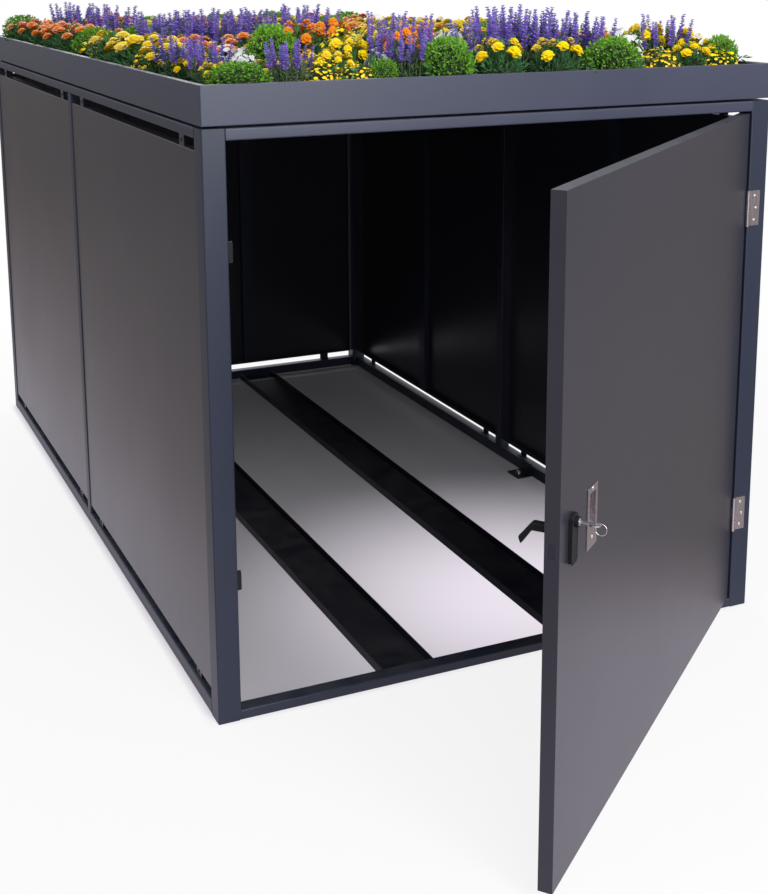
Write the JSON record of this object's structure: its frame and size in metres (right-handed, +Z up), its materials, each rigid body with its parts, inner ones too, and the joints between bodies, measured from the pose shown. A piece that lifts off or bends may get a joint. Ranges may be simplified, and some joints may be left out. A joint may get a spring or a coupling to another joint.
{
  "type": "bicycle locker",
  "caption": "Low lockable steel box for bicycles, with a hinged front door, wheel channels on the ground, ventilated wall panels and a planted roof tray.",
  "frame": {"origin": "middle of the front sill's underside, on the ground", "axes": "+X to the right as seen from the front, +Y from the front to the rear, +Z up"},
  "size_m": [1.24, 2.9311, 1.3373],
  "materials": {
    "frame_steel": "anthracite powder coat, satin",
    "panel_steel": "anthracite powder coat, satin, smooth sheet",
    "dark_steel": "dark powder coat, scuffed",
    "stainless": "brushed",
    "zinc_steel": "bright zinc plate",
    "black_plastic": "black, satin",
    "rubber": "matt black",
    "drainage_mat": "dark felted plastic",
    "substrate": "dark crumbly soil",
    "planting": "leaves and flowers"
  },
  "bodies": {
    "frame": {"post_front_left": "frame_steel", "post_front_right": "frame_steel", "post_rear_left": "frame_steel", "post_rear_right": "frame_steel", "mid_post_left": "frame_steel", "mid_post_right": "frame_steel", "front_sill": "frame_steel", "front_lintel": "frame_steel", "rear_bottom_rail": "frame_steel", "rear_top_rail": "frame_steel", "left_bottom_rail": "frame_steel", "left_top_rail": "frame_steel", "right_bottom_rail": "frame_steel", "right_top_rail": "frame_steel", "panel_left_front": "panel_steel", "panel_left_rear": "panel_steel", "panel_right_front": "panel_steel", "panel_right_rear": "panel_steel", "panel_rear": "panel_steel", "stiffener_left_front": "frame_steel", "stiffener_left_rear": "frame_steel", "stiffener_right_front": "frame_steel", "stiffener_right_rear": "frame_steel", "rear_rib_left": "frame_steel", "rear_rib_right": "frame_steel", "wheel_channel_left": "dark_steel", "wheel_channel_right": "dark_steel", "anchor_angle_left": "dark_steel", "anchor_angle_right": "dark_steel", "roof_beam_1": "frame_steel", "roof_beam_2": "frame_steel", "roof_beam_3": "frame_steel", "roof_tray": "frame_steel", "drainage_mat": "drainage_mat", "substrate": "substrate", "planting": "planting", "stop_tab_lower": "dark_steel", "stop_tab_upper": "dark_steel", "stop_buffer_lower": "rubber", "stop_buffer_upper": "rubber", "hinge_lower_post_leaf": "stainless", "hinge_upper_post_leaf": "stainless", "hinge_lower_pin": "stainless", "hinge_upper_pin": "stainless"},
    "door": {"hinge_lower_door_leaf": "stainless", "hinge_upper_door_leaf": "stainless", "door_outer_skin": "panel_steel", "door_inner_sheet": "panel_steel", "door_stiffener_1": "frame_steel", "door_stiffener_2": "frame_steel", "flush_pull": "stainless", "escutcheon": "black_plastic", "cylinder_body": "black_plastic", "lock_case": "zinc_steel", "lever_rose": "black_plastic"},
    "plug": {"lock_plug": "stainless"},
    "bolt": {"lock_bolt": "dark_steel"},
    "lever": {"inner_lever": "black_plastic"},
    "key": {"key": "zinc_steel"},
    "ring": {"key_ring": "stainless"}
  },
  "joints": [
    {"name": "door_hinge", "type": "hinge", "parent": "frame", "child": "door", "pos_m": [0.571, -0.0218, 0], "axis": [0, 0, 1], "range_deg": [-39, 131]},
    {"name": "lock_turn", "type": "hinge", "parent": "door", "child": "plug", "pos_m": [-0.27764, -0.70902, 0.611], "axis": [-0.6293, 0.7771, 0], "range_deg": [0, 90]},
    {"name": "bolt_throw", "type": "slide", "parent": "door", "child": "bolt", "axis": [-0.7771, -0.6293, 0], "range_m": [0, 0.014]},
    {"name": "lever_turn", "type": "hinge", "parent": "door", "child": "lever", "pos_m": [-0.27764, -0.70902, 0.593], "axis": [-0.6293, 0.7771, 0], "range_deg": [0, 90]},
    {"name": "key_withdraw", "type": "slide", "parent": "plug", "child": "key", "axis": [0.6293, -0.7771, 0], "range_m": [0, 0.03]},
    {"name": "ring_swing", "type": "hinge", "parent": "key", "child": "ring", "pos_m": [-0.2526, -0.73995, 0.611], "axis": [0.7771, 0.6293, 0], "range_deg": [-80, 0]}
  ],
  "couplings": [
    {"joint": "lock_turn", "follows": "bolt_throw", "rad_per_m": 112.2},
    {"joint": "lever_turn", "follows": "bolt_throw", "rad_per_m": 112.2}
  ]
}
